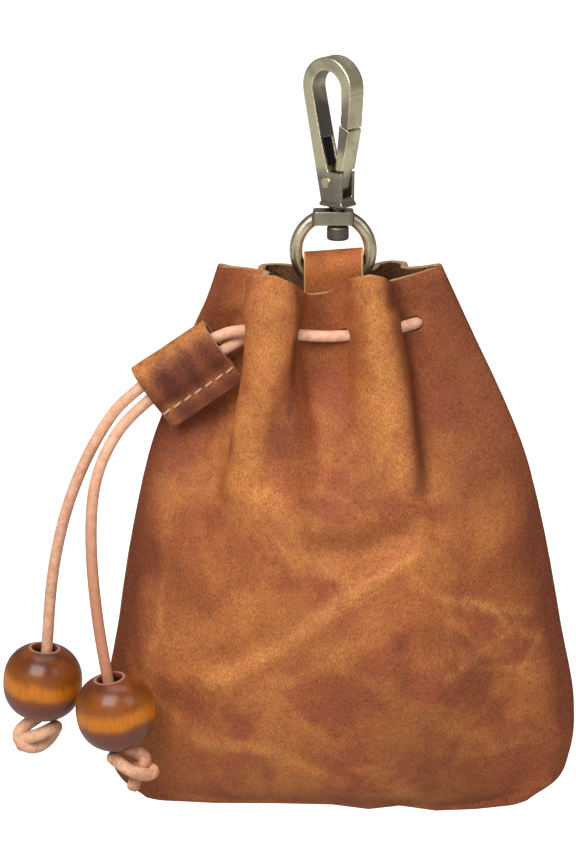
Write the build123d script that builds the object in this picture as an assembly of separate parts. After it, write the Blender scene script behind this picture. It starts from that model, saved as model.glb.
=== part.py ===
from build123d import *
import math
import os

# A drawstring dice bag of soft leather, hanging from a swivel snap hook.
# Millimetres. +X to the right of the bag's front, +Y to its back, +Z up.
# The origin is the centre of the hook's bow, where the bag is hung up.

# ---- driving dimensions ----
LEATHER = 1.8
SEAM_GAP = 0.15
CORD_D = 2.9
HOLE_R = 1.8

BOW_R_IN = 4.6
BOW_R_OUT = 7.7
BOW_RISE = 0.3
HOOK_DEPTH = 5.4
HOOK_TURN = 40.0
RIVET_AT = (-0.1, -23.7)
RIVET_R = 0.8
GATE_R = 15.55
NOSE_GAP = 0.25
SLOT = 3.5
TONGUE = 3.1
BASE_TOP_Z = -20.8
BASE_LOW_Z = -28.75
FLANGE_LOW_Z = -29.7
NECK_LOW_Z = -30.2
POST_AT = 1.5
POST_TOP_Z = -28.2

RING_C_Z = -41.3
RING_R = 9.28
WIRE_R = 1.62
BAR_HALF = 5.06
BAR_TOP_Z = -31.0
BAR_LOW_Z = -34.5
BAR_DEPTH = 5.8
POST_R = 1.5
RUN_GAP = 0.05
HEAD_R = 2.75
HEAD_TOP_Z = -34.8
HEAD_LOW_Z = -38.3

TAB_HALF = 7.45
TAB_TOP_Z = -41.0
TAB_GAP = 2.6
TAB_NECK_Z = (-53.5, -58.5)
TAB_LOW_Z = -68.0

RIM_Z = -45.0
BEAD_R = 10.0
BEAD_BORE_R = 3.2

SLEEVE_C = (-36.3, -8.6, -70.9)
SLEEVE_TILT = 34.3
SLEEVE_LONG = 21.6
SLEEVE_WIDE = 18.1
SLEEVE_BORE = (12.4, 4.0)
FLAP = 4.6

# The bag's outline: height, left side, right side, half depth of the belly, and how far it is pleated.
OUTLINE = [
    (-45.0, -28.8, 27.1, 8.0, 1.0),
    (-53.0, -31.4, 30.7, 8.5, 1.0),
    (-62.0, -35.3, 34.8, 10.0, 0.96),
    (-75.0, -39.6, 40.8, 13.0, 0.8),
    (-90.0, -45.3, 47.2, 16.5, 0.45),
    (-110.0, -49.7, 52.4, 19.0, 0.12),
    (-135.0, -53.6, 56.9, 20.0, 0.0),
    (-158.0, -57.2, 60.8, 17.0, 0.0),
    (-171.0, -56.4, 59.6, 12.0, 0.0),
    (-179.0, -52.4, 56.0, 6.5, 0.0),
    (-183.3, -44.0, 49.5, 2.3, 0.0),
]

# The mouth's gathers, x and distance from the middle plane: two pleats and a valley in each side.
FRONT_FOLDS = [
    (-17.6, 3.6), (-18.4, 8.4), (-21.6, 13.4), (-19.0, 17.0), (-14.2, 18.4), (-9.4, 16.8),
    (-7.6, 12.6), (-6.0, 8.6), (-1.6, 7.5), (2.6, 9.0), (5.2, 13.4), (8.6, 16.4),
    (12.2, 15.4), (13.6, 10.8), (14.8, 6.2),
]
BACK_FOLDS = [
    (-19.0, 4.6), (-18.6, 9.0), (-17.4, 13.4), (-13.0, 15.2), (-8.8, 13.2), (-6.8, 9.6),
    (-2.0, 7.6), (4.2, 7.8), (8.6, 9.8), (10.4, 13.2), (14.6, 15.0), (18.2, 12.6),
    (18.8, 8.6), (19.0, 5.0),
]
FOLD_MIDDLE = -2.0
FAN = 0.0000925
RIGHT_LEAN = 0.1


def fanned(x, z):
    """Where a fold at x in the mouth has spread to at a height below it."""
    below = RIM_Z - z
    lean = RIGHT_LEAN * min(below, 40.0) * max(x - 4.0, 0.0) / 9.0
    return FOLD_MIDDLE + (x - FOLD_MIDDLE) * (1.0 + FAN * below ** 2) + lean


def belly(x, left, right, depth):
    """Half depth of the plain lens-shaped section at x."""
    reach = abs(2 * (x - left) / (right - left) - 1)
    return depth * max(1 - min(reach, 1) ** 2.4, 0) ** 0.8


def section(level, folds):
    """Outer points of one side at one height, from the left seam to the right one; y is positive."""
    z, left, right, depth, pleat = level
    points = [(left, SEAM_GAP)]
    span = right - left
    first = (fanned(folds[0][0], z), folds[0][1])
    last = (fanned(folds[-1][0], z), folds[-1][1])
    row = [(left + (first[0] - left) * part, first[1] * part ** 0.7) for part in (0.12, 0.5)]
    row += [(fanned(x, z), y) for x, y in folds]
    row += [(right + (last[0] - right) * part, last[1] * part ** 0.7) for part in (0.5, 0.12)]
    for i, (x, y) in enumerate(row):
        even = left + span * (0.03 + 0.94 * i / (len(row) - 1))
        x = pleat * x + (1 - pleat) * even
        points.append((x, max(pleat * y + (1 - pleat) * belly(x, left, right, depth), 0.5)))
    points.append((right, SEAM_GAP))
    return points


def inset(points, wall):
    """The same curve moved in by the wall, kept off the middle plane."""
    inner = []
    for i in range(1, len(points) - 1):
        (ax, ay), (bx, by) = points[i - 1], points[i + 1]
        run = math.hypot(bx - ax, by - ay)
        x = points[i][0] + wall * (by - ay) / run
        y = points[i][1] - wall * (bx - ax) / run
        inner.append((x, max(y, 0.3)))
    start = (points[0][0] + 1.2 * wall, SEAM_GAP)
    end = (points[-1][0] - 1.2 * wall, SEAM_GAP)
    kept = [p for p in inner if start[0] + 0.4 < p[0] < end[0] - 0.4]
    return [start] + kept + [end]


def panel(folds, side):
    """One leather side of the bag, a thin lofted shell; side is -1 in front and +1 behind."""
    faces = []
    for level in OUTLINE:
        z = level[0]
        outer = section(level, folds)
        inner = inset(outer, LEATHER)
        if level is OUTLINE[-1]:
            inner = [(x, 0.3 * y if y > 0.4 else y) for x, y in inner]
        loop = Spline(*[(x, side * y, z) for x, y in outer])
        back = Spline(*[(x, side * y, z) for x, y in inner])
        ends = [Line(loop @ 0, back @ 0), Line(loop @ 1, back @ 1)]
        faces.append(Face(Wire([loop.edge(), ends[1].edge(), back.edge(), ends[0].edge()])))
    return loft(faces)


# ---- cords ----
def tube(points, diameter, name):
    """A cord along straight runs joined by arcs as large as the runs allow; returns path and tube."""
    runs = [Vector(*b) - Vector(*a) for a, b in zip(points, points[1:])]
    radii = []
    for before, after in zip(runs, runs[1:]):
        half = math.radians(before.get_angle(after) / 2)
        radii.append(0.45 * min(before.length, after.length) / math.tan(half))
    path = FilletPolyline(*points, radius=radii)
    start = Plane(origin=path @ 0, z_dir=path % 0)
    solid = sweep(start * Circle(diameter / 2), path=path)
    print(name, "length", round(path.length, 1), "smallest radius", round(min(radii), 1),
          "volume share", round(solid.volume / (path.length * math.pi * diameter ** 2 / 4), 3))
    return path, solid


# The drawcord: out of the sleeve, round the mouth through the gathers, and back into the sleeve.
LOOP = [
    (-50.6, -8.6, -76.0),
    (-45.0, -8.6, -71.8),
    (-36.6, -8.6, -66.4),
    (-28.6, -8.7, -60.9),
    (-22.4, -9.1, -59.4),
    (-14.0, -9.0, -60.2),
    (-2.5, -9.7, -61.3),
    (8.0, -9.3, -60.6),
    (13.6, -8.9, -60.0),
    (17.6, -6.2, -59.3),
    (21.2, -3.2, -58.9),
    (22.8, 1.0, -59.2),
    (21.8, 5.0, -59.8),
    (15.4, 8.6, -60.2),
    (7.6, 9.9, -60.5),
    (-2.6, 9.7, -60.8),
    (-10.6, 9.6, -60.9),
    (-16.0, 6.2, -61.2),
    (-18.2, 0.8, -61.8),
    (-20.6, -4.6, -62.4),
    (-24.8, -8.0, -63.4),
    (-30.0, -8.6, -66.4),
    (-36.2, -8.6, -70.4),
    (-42.6, -8.6, -74.8),
    (-47.8, -8.6, -78.8),
]
# The two tails go on from the ends of the drawcord, down to their knots.
TAIL_LEFT = [
    (-51.3, -8.6, -76.7),
    (-56.4, -8.4, -82.8),
    (-62.6, -7.6, -94.5),
    (-67.6, -6.2, -108.8),
    (-70.6, -4.8, -125.0),
    (-71.7, -3.8, -143.0),
    (-73.0, -3.0, -160.6),
]
TAIL_RIGHT = [
    (-48.5, -8.8, -79.4),
    (-54.8, -10.4, -86.4),
    (-59.6, -13.0, -97.0),
    (-60.6, -15.8, -111.0),
    (-59.3, -18.0, -128.0),
    (-56.6, -19.2, -145.0),
    (-52.9, -18.2, -164.4),
]


def bead(centre, top):
    """A turned wooden bead, bored through along the cord."""
    axis = Vector(*top) - Vector(*centre)
    place = Plane(origin=centre, z_dir=axis)
    body = Sphere(BEAD_R) & Cylinder(BEAD_R + 1, 2 * math.sqrt(BEAD_R ** 2 - (BEAD_BORE_R + 0.5) ** 2))
    return place * (body - Cylinder(BEAD_BORE_R, 3 * BEAD_R))


def knot(centre, radii):
    """The outer shape of the overhand knot that holds a bead."""
    return Pos(*centre) * scale(Sphere(1), by=radii)


# ---- the swivel snap hook, drawn facing the front and then turned ----
def turned(shape):
    return Rot(0, 0, -HOOK_TURN) * shape


def outline_xz(*points):
    return Plane.XZ * make_face(Polyline(*points, close=True).edges())


def slab(face, depth, middle=0):
    """A face on the XZ plane made into a slab of the depth, centred on y = middle."""
    return Pos(0, middle, 0) * extrude(face, amount=depth / 2, both=True)


def round_bar(at, r, depth):
    return Pos(at[0], 0, at[1]) * Rot(90, 0, 0) * Cylinder(r, depth)


def hook_frame():
    """The cast frame: bow, nose, long leg with its spring recess, and two cheeks on a flange."""
    shoulder = [(-7.6, -1.3), (7.7, -0.8), (7.05, -9.6), (4.9, BASE_TOP_Z), (4.7, BASE_LOW_Z), (-1.8, BASE_LOW_Z)]
    window = [(-4.6, -0.5), (4.6, -0.5), (4.8, -9.5), (3.5, -12.0), (2.6, BASE_TOP_Z), (0.35, BASE_TOP_Z),
              (-1.9, -12.4)]
    body = Pos(0, 0, BOW_RISE) * round_bar((0, 0), BOW_R_OUT, HOOK_DEPTH)
    body += slab(outline_xz(*shoulder), HOOK_DEPTH)
    body -= round_bar((0, 0), BOW_R_IN, HOOK_DEPTH + 2)
    body -= slab(outline_xz(*window), HOOK_DEPTH + 2)
    gate_room = slab(outline_xz((1.2, -5.0), (13.0, -5.0), (13.0, BASE_TOP_Z), (1.2, BASE_TOP_Z)), HOOK_DEPTH + 2)
    body -= gate_room & round_bar(RIVET_AT, GATE_R + NOSE_GAP, HOOK_DEPTH + 2)
    body -= Pos(2.425, 0, -23.6) * Box(9.15, SLOT, 7.4)
    body -= Pos(-0.85, 0, -16.5) * Rot(0, -15, 0) * Box(2.4, 3.4, 7.9)
    body += Pos(POST_AT, 0, (BASE_LOW_Z + FLANGE_LOW_Z) / 2) * Box(7.4, 5.8, BASE_LOW_Z - FLANGE_LOW_Z)
    body += Pos(POST_AT, 0, (FLANGE_LOW_Z + NECK_LOW_Z) / 2) * Cylinder(2.4, FLANGE_LOW_Z - NECK_LOW_Z)
    body -= round_bar(RIVET_AT, RIVET_R, 20)
    body -= Pos(POST_AT, 0, (POST_TOP_Z + NECK_LOW_Z) / 2) * Cylinder(POST_R, POST_TOP_Z - NECK_LOW_Z)
    return turned(body)


def hook_gate():
    """The gate's broad blade above the base and its narrow tongue between the cheeks."""
    blade = slab(outline_xz((4.05, -7.5), (7.6, -7.5), (4.9, -20.3), (2.7, -20.3)), HOOK_DEPTH - 0.3)
    blade = blade & round_bar(RIVET_AT, GATE_R, HOOK_DEPTH)
    lip = slab(outline_xz((3.75, -6.4), (4.45, -6.4), (4.5, -11.0), (3.75, -11.0)), 3.6)
    root = slab(outline_xz((2.7, -20.3), (4.9, -20.3), (3.9, -25.0), (3.2, -25.6), (0.2, -25.6)), TONGUE)
    gate = blade + lip + root + round_bar(RIVET_AT, 1.9, TONGUE)
    return turned(gate - round_bar(RIVET_AT, RIVET_R + RUN_GAP, 20))


def gate_rivet():
    head_y = HOOK_DEPTH / 2 + 0.2
    heads = [Pos(0, side * head_y, 0) * round_bar(RIVET_AT, 1.25, 0.4) for side in (-1, 1)]
    return turned(round_bar(RIVET_AT, RIVET_R, HOOK_DEPTH) + heads[0] + heads[1])


def gate_spring():
    """A ribbed leaf spring in the recess of the long leg."""
    leaf = Box(0.4, 3.0, 6.9)
    for offset in (-1.0, 0.0, 1.0):
        leaf += Pos(0.3, offset, 0) * Box(0.4, 0.35, 6.6)
    return turned(Pos(-1.6, 0, -16.3) * Rot(0, -15, 0) * leaf)


def swivel_pin():
    """A turned pin that hangs the ring from the frame, with a wide head under the ring's bar."""
    post = Pos(0, 0, (HEAD_TOP_Z + POST_TOP_Z) / 2) * Cylinder(POST_R, POST_TOP_Z - HEAD_TOP_Z)
    head = Pos(0, 0, (HEAD_TOP_Z + HEAD_LOW_Z) / 2) * Cylinder(HEAD_R, HEAD_TOP_Z - HEAD_LOW_Z)
    return turned(Pos(POST_AT, 0, 0) * (post + fillet(head.edges().filter_by(GeomType.CIRCLE), 0.6)))


def swivel_ring():
    hoop = Pos(0, 0, RING_C_Z) * Rot(90, 0, 0) * Torus(RING_R, WIRE_R)
    bar = Pos(0, 0, (BAR_TOP_Z + BAR_LOW_Z) / 2) * Box(2 * BAR_HALF, BAR_DEPTH, BAR_TOP_Z - BAR_LOW_Z)
    bar = fillet(bar.edges().filter_by(Axis.Z), 1.2)
    bore = turned(Pos(POST_AT, 0, BAR_LOW_Z) * Cylinder(POST_R + RUN_GAP, 12))
    return hoop + bar - bore


# ---- leather pieces ----
def tab_strap():
    """The hanging tab: a strap folded over inside the ring, its two ends together in the mouth."""
    crown = TAB_TOP_Z - TAB_GAP - LEATHER
    outer_y = TAB_GAP + LEATHER
    high, low = TAB_NECK_Z
    with BuildSketch(Plane.YZ) as profile:
        with BuildLine():
            Line((-outer_y, high), (-outer_y, crown))
            ThreePointArc((-outer_y, crown), (0, TAB_TOP_Z), (outer_y, crown))
            Line((outer_y, crown), (outer_y, high))
            Polyline((outer_y, high), (LEATHER + 0.03, low), (LEATHER + 0.03, TAB_LOW_Z), (0.03, TAB_LOW_Z),
                     (0.03, low), (TAB_GAP, high), (TAB_GAP, crown))
            ThreePointArc((TAB_GAP, crown), (0, crown + TAB_GAP), (-TAB_GAP, crown))
            Polyline((-TAB_GAP, crown), (-TAB_GAP, high), (-0.03, low), (-0.03, TAB_LOW_Z),
                     (-LEATHER - 0.03, TAB_LOW_Z), (-LEATHER - 0.03, low), (-outer_y, high))
        make_face()
    return extrude(profile.sketch, amount=TAB_HALF, both=True)


def sleeve_place():
    return Pos(*SLEEVE_C) * Rot(0, -SLEEVE_TILT, 0)


def cord_sleeve():
    """A strip of leather folded over both cords and sewn along its lower edge."""
    wide, high = SLEEVE_BORE
    thick = high + 2 * LEATHER
    body_wide = SLEEVE_WIDE - FLAP
    middle = (SLEEVE_WIDE - body_wide) / 2
    barrel = Pos(0, 0, middle) * Box(SLEEVE_LONG, thick, body_wide)
    barrel = fillet(barrel.edges().filter_by(Axis.X), 2.2)
    flap = Pos(0, 0, -(SLEEVE_WIDE - FLAP - 1.5) / 2) * Box(SLEEVE_LONG, 2 * LEATHER, FLAP + 1.5)
    bore = Pos(0, 0, middle) * Box(SLEEVE_LONG + 2, high, wide - LEATHER)
    return sleeve_place() * (barrel + flap - fillet(bore.edges().filter_by(Axis.X), 1.5))


def sleeve_stitches():
    """Seven stitches through the sleeve's flap, seen on its front."""
    pitch = 3.2
    rows = [Pos((i - 3) * pitch, -LEATHER - 0.25, -5.0) * Box(2.4, 0.45, 0.6) for i in range(7)]
    return sleeve_place() * Compound(rows)


def seam_thread(side):
    """Stitches inside a turned side seam, one by one down the seam."""
    stitches = []
    for i in range(22):
        z = -52.0 - 5.4 * i
        left, right = outline_at(z)
        x = left + 3.4 if side < 0 else right - 3.4
        stitches.append(Pos(x, 0, z) * Box(0.5, 0.16, 3.6))
    return Compound(stitches)


def bottom_thread():
    z = OUTLINE[-1][0] + 0.9
    return Compound([Pos(-40 + 5.2 * i, 0, z) * Box(3.6, 0.14, 0.5) for i in range(17)])


def outline_at(z):
    """The bag's left and right sides at a height."""
    for high, low in zip(OUTLINE, OUTLINE[1:]):
        if high[0] >= z >= low[0]:
            part = (high[0] - z) / (high[0] - low[0])
            return high[1] + part * (low[1] - high[1]), high[2] + part * (low[2] - high[2])
    return OUTLINE[-1][1], OUTLINE[-1][2]


def tab_stitches():
    """A box of stitches that holds the tab's two ends to each other."""
    return Compound([Pos(-5.0 + 2.5 * i, -LEATHER - 0.3, z) * Box(1.8, 0.45, 0.45)
                     for i in range(5) for z in (-61.5, -66.0)])


# ---- write the parts ----
path, drawcord = tube(LOOP, CORD_D, "drawcord")
left_path, tail_left = tube(TAIL_LEFT, CORD_D, "left tail")
right_path, tail_right = tube(TAIL_RIGHT, CORD_D, "right tail")
clear_way = sweep(Plane(origin=path @ 0, z_dir=path % 0) * Circle(HOLE_R), path=path)

parts = {
    "hook_frame": hook_frame(),
    "hook_gate": hook_gate(),
    "gate_rivet": gate_rivet(),
    "gate_spring": gate_spring(),
    "swivel_pin": swivel_pin(),
    "swivel_ring": swivel_ring(),
    "tab_strap": tab_strap(),
    "tab_stitches": tab_stitches(),
    "front_panel": panel(FRONT_FOLDS, -1) - clear_way,
    "back_panel": panel(BACK_FOLDS, 1) - clear_way,
    "side_thread_left": seam_thread(-1),
    "side_thread_right": seam_thread(1),
    "bottom_thread": bottom_thread(),
    "drawcord": drawcord,
    "cord_sleeve": cord_sleeve(),
    "sleeve_stitches": sleeve_stitches(),
    "tail_cord_left": tail_left,
    "tail_cord_right": tail_right,
    "knot_left": knot((-74.2, -3.0, -165.8), (5.9, 4.0, 4.4)),
    "knot_right": knot((-50.2, -18.8, -170.2), (6.2, 4.0, 5.2)),
    "bead_left": bead((-72.8, -3.4, -151.2), (-72.2, -4.9, -141.3)),
    "bead_right": bead((-54.3, -18.7, -155.0), (-55.9, -20.3, -145.3)),
}

os.makedirs("parts", exist_ok=True)
for name, shape in parts.items():
    export_step(shape, f"parts/{name}.step")
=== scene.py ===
# A leather drawstring dice bag on a snap hook: looks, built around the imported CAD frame.
import math

import bpy
import numpy as np
from mathutils import Matrix, Vector

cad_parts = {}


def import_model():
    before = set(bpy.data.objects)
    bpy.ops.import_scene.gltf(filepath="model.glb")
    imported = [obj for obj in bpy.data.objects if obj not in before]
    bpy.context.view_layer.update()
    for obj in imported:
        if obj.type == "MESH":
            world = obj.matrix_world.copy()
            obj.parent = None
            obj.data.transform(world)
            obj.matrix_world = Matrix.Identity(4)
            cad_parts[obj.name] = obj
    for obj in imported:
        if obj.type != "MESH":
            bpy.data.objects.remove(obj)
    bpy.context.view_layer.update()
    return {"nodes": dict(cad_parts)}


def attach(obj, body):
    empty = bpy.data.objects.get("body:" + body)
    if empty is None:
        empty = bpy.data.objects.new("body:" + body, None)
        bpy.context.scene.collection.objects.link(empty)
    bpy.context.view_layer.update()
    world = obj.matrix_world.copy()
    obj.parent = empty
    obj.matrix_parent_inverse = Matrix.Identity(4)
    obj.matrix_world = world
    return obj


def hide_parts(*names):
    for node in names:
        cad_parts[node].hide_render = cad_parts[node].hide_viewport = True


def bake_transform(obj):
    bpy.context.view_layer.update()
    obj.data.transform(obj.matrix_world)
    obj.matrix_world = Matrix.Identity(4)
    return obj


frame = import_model()

MM = 0.001

# ---------------------------------------------------------------- driving sizes, in millimetres
LEATHER = 1.8
CORD_D = 2.9
KNOT_D = 3.3           # the cord looks a little swollen where it is tied
HOLE_R = 1.85
RIM_Z = -45.0
FOLD_MIDDLE = -2.0     # the pleats spread to both sides of this x as they go down
FAN = 0.0000925
RIGHT_LEAN = 0.1       # how much more the right pleat leans outward
BEAD_R = 9.95
BEAD_HALF_TALL = 9.75
RIM_HEIGHT = 9.3
BEAD_BORE_R = 3.2
SLEEVE_C = (-36.3, -8.6, -70.9)
SLEEVE_TILT = 34.3
SLEEVE_LONG = 21.6
SLEEVE_WIDE = 18.1
SEAM_DEPTH = 2.2       # half thickness of the bag just inside its turned seams
# The leather's edge as it turns in at a side seam: how far in from the side, and how far from the middle.
TURNED_SEAM = [(0.7, 0.10), (0.12, 0.55), (0.10, 1.2), (0.75, 2.0)]
CLOSING_ROWS = 8       # rows of points that round the bottom edge
CLOSING_DROP = 1.1
SEAM_GAP = 0.12        # how near the two sides come to the middle plane
EDGE_OIL_AND_SHADE = 0.34       # how much painted shade darkens the leather toward its side seams, where the light falls off, with darker oiled edges

# Height, left side, right side, half depth of the belly, and how far it is pleated.
OUTLINE = np.array([
    (-45.0, -28.8, 27.1, 8.0, 1.0),
    (-53.0, -31.4, 30.7, 8.5, 1.0),
    (-62.0, -35.3, 34.8, 10.0, 0.96),
    (-75.0, -39.6, 40.8, 13.0, 0.88),
    (-90.0, -45.3, 47.2, 16.5, 0.6),
    (-110.0, -49.7, 52.4, 19.0, 0.2),
    (-135.0, -53.6, 56.9, 20.0, 0.0),
    (-158.0, -57.2, 60.8, 17.0, 0.0),
    (-171.0, -56.4, 59.6, 12.0, 0.0),
    (-179.0, -53.0, 56.0, 6.5, 0.0),
    (-183.3, -47.5, 49.5, 2.3, 0.0),
])
# How far the bottom edge hangs below or above its middle height, from left to right.
BOTTOM_DROP = np.array([(-60, 2.6), (-46, 1.7), (-30, 0.9), (-14, 0.8), (0, 0.5), (9, -0.7), (17, 0.2),
                        (26, -1.1), (36, -0.7), (45, 0.3), (52, 1.4), (60, 2.2)])
# The mouth's gathers: x, distance from the middle plane, and the rim's height above RIM_Z.
FRONT_FOLDS = np.array([
    (-17.6, 3.6, -0.6), (-18.4, 8.4, -0.8), (-21.6, 13.4, 0.0), (-19.0, 17.0, 0.8), (-14.2, 18.4, 1.0),
    (-9.4, 16.8, -1.4), (-7.6, 12.6, -3.6), (-6.0, 8.6, -5.6), (-1.6, 7.5, -5.4), (2.6, 9.0, -2.4),
    (5.2, 13.4, -0.3), (8.6, 16.4, 0.9), (12.2, 15.4, 0.3), (13.6, 10.8, -1.6), (14.8, 6.2, -2.6),
])
BACK_FOLDS = np.array([
    (-19.0, 4.6, -2.4), (-18.6, 9.0, -2.4), (-17.4, 13.4, -2.6), (-13.0, 15.2, -2.8), (-8.8, 13.2, -2.8),
    (-6.8, 9.6, -3.2), (-2.0, 7.6, -3.6), (4.2, 7.8, -3.6), (8.6, 9.8, -3.2), (10.4, 13.2, -2.4),
    (14.6, 15.0, -2.0), (18.2, 12.6, -1.8), (18.8, 8.6, -1.6), (19.0, 5.0, -1.4),
])
# The cords' routes, the same points as in the CAD part.
LOOP = [
    (-45.0, -8.6, -71.8), (-36.6, -8.6, -66.4), (-28.6, -8.7, -60.9), (-22.4, -9.1, -59.4),
    (-14.0, -9.0, -60.2), (-2.5, -9.7, -61.3), (8.0, -9.3, -60.6), (13.6, -8.9, -60.0),
    (17.6, -6.2, -59.3), (21.2, -3.2, -58.9), (22.8, 1.0, -59.2), (21.8, 5.0, -59.8),
    (15.4, 8.6, -60.2), (7.6, 9.9, -60.5), (-2.6, 9.7, -60.8), (-10.6, 9.6, -60.9),
    (-16.0, 6.2, -61.2), (-18.2, 0.8, -61.8), (-20.6, -4.6, -62.4), (-24.8, -8.0, -63.4),
    (-30.0, -8.6, -66.4), (-36.2, -8.6, -70.4), (-42.6, -8.6, -74.8),
]
TAIL_LEFT = [
    (-43.0, -8.6, -70.4), (-51.3, -8.6, -76.7), (-56.4, -8.4, -82.8), (-62.6, -7.6, -94.5),
    (-67.6, -6.2, -108.8), (-70.6, -4.8, -125.0), (-71.7, -3.8, -143.0), (-73.0, -3.0, -160.6),
]
TAIL_RIGHT = [
    (-41.2, -8.6, -73.8), (-48.5, -8.8, -79.4), (-54.8, -10.4, -86.4), (-59.6, -13.0, -97.0),
    (-60.6, -15.8, -111.0), (-59.3, -18.0, -128.0), (-56.6, -19.2, -145.0), (-52.9, -18.2, -164.4),
]
# The end knots: down out of the bead, round, across the front, through the loop, and a short end out.
KNOT_LEFT = [
    (-73.0, -3.0, -159.8), (-75.8, -2.6, -161.7), (-78.5, -3.0, -163.6), (-79.1, -3.4, -166.0),
    (-77.2, -3.5, -168.1), (-74.2, -3.3, -168.3), (-71.5, -2.4, -166.6), (-69.8, -1.8, -164.0),
    (-69.4, -3.6, -162.5), (-71.4, -5.8, -163.2), (-74.4, -6.0, -164.5), (-76.8, -4.0, -165.6),
    (-77.8, -1.2, -167.2), (-78.4, -0.8, -169.6),
]
KNOT_RIGHT = [
    (-52.6, -18.2, -164.0), (-49.6, -18.8, -165.2), (-46.9, -19.4, -166.4), (-47.2, -19.0, -168.8),
    (-49.6, -17.2, -170.2), (-53.0, -16.6, -169.0), (-55.4, -18.0, -166.8), (-54.2, -20.4, -167.2),
    (-50.8, -21.4, -169.6), (-46.6, -21.0, -171.0), (-44.6, -19.2, -170.4), (-46.0, -17.4, -169.8),
    (-48.8, -17.2, -171.2), (-49.6, -18.0, -173.2), (-50.2, -18.4, -175.6),
]


# ---------------------------------------------------------------- camera, lights and stage
VIEW_HIGH_MM = 216.0
LENS = 450.0
SENSOR = 36.0
ELEVATION = math.radians(13.0)
TARGET = Vector((-11.25, 0.0, -87.7)) * MM


def camera():
    data = bpy.data.cameras.new("view")
    data.lens = LENS
    data.sensor_width = SENSOR
    far = VIEW_HIGH_MM * MM * LENS / SENSOR
    obj = bpy.data.objects.new("view", data)
    bpy.context.collection.objects.link(obj)
    obj.location = TARGET + far * Vector((0, -math.cos(ELEVATION), math.sin(ELEVATION)))
    obj.rotation_euler = (math.pi / 2 - ELEVATION, 0, 0)
    data.clip_start = 0.01
    data.clip_end = 20.0
    bpy.context.scene.camera = obj


def area_light(name, place, aim, size, power, tint=(1, 1, 1)):
    data = bpy.data.lights.new(name, "AREA")
    data.shape = "RECTANGLE"
    data.size, data.size_y = size
    data.energy = power
    data.color = tint
    obj = bpy.data.objects.new(name, data)
    bpy.context.collection.objects.link(obj)
    obj.location = place
    obj.rotation_euler = (Vector(aim) - Vector(place)).to_track_quat("-Z", "Y").to_euler()


def stage():
    """A pale floor a little below the bag, which curves up into a pale wall far behind it."""
    floor_z = -0.215
    back_y = 8.0
    bend = 2.0
    profile = [(-9.0, floor_z), (back_y - bend, floor_z)]
    for i in range(1, 13):
        turn = math.radians(90 * i / 12)
        profile.append((back_y - bend + bend * math.sin(turn), floor_z + bend * (1 - math.cos(turn))))
    profile.append((back_y, 10.0))
    verts = [(x, y, z) for y, z in profile for x in (-9.0, 9.0)]
    faces = [(2 * i, 2 * i + 1, 2 * i + 3, 2 * i + 2) for i in range(len(profile) - 1)]
    mesh = bpy.data.meshes.new("backdrop")
    mesh.from_pydata(verts, [], faces)
    mesh.shade_smooth()
    obj = bpy.data.objects.new("backdrop", mesh)
    bpy.context.collection.objects.link(obj)
    mat = bpy.data.materials.new("backdrop_paper")
    mat.use_nodes = True
    shader = mat.node_tree.nodes["Principled BSDF"]
    shader.inputs["Base Color"].default_value = (0.45, 0.45, 0.45, 1)
    shader.inputs["Roughness"].default_value = 0.9
    shader.inputs["Emission Color"].default_value = (1, 1, 1, 1)
    seen = mat.node_tree.nodes.new("ShaderNodeLightPath").outputs["Is Camera Ray"]
    glow = mat.node_tree.nodes.new("ShaderNodeMapRange")
    glow.inputs["To Min"].default_value = 0.12
    glow.inputs["To Max"].default_value = 1.0
    mat.node_tree.links.new(seen, glow.inputs["Value"])
    mat.node_tree.links.new(glow.outputs["Result"], shader.inputs["Emission Strength"])
    mesh.materials.append(mat)


def world():
    space = bpy.data.worlds.new("studio")
    space.use_nodes = True
    space.node_tree.nodes["Background"].inputs[0].default_value = (1, 1, 1, 1)
    space.node_tree.nodes["Background"].inputs[1].default_value = 0.15
    bpy.context.scene.world = space


camera()
world()
stage()
area_light("key", (-0.42, -0.95, 0.78), (0, 0, -0.10), (0.9, 0.9), 19.5)
area_light("second", (0.80, -0.70, 0.60), (0, 0, -0.10), (0.5, 0.6), 3.0)
area_light("top", (0.0, 0.0, 0.8), (0, 0, -0.1), (0.7, 0.4), 2.4)
bpy.context.scene.view_settings.view_transform = "Standard"


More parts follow.
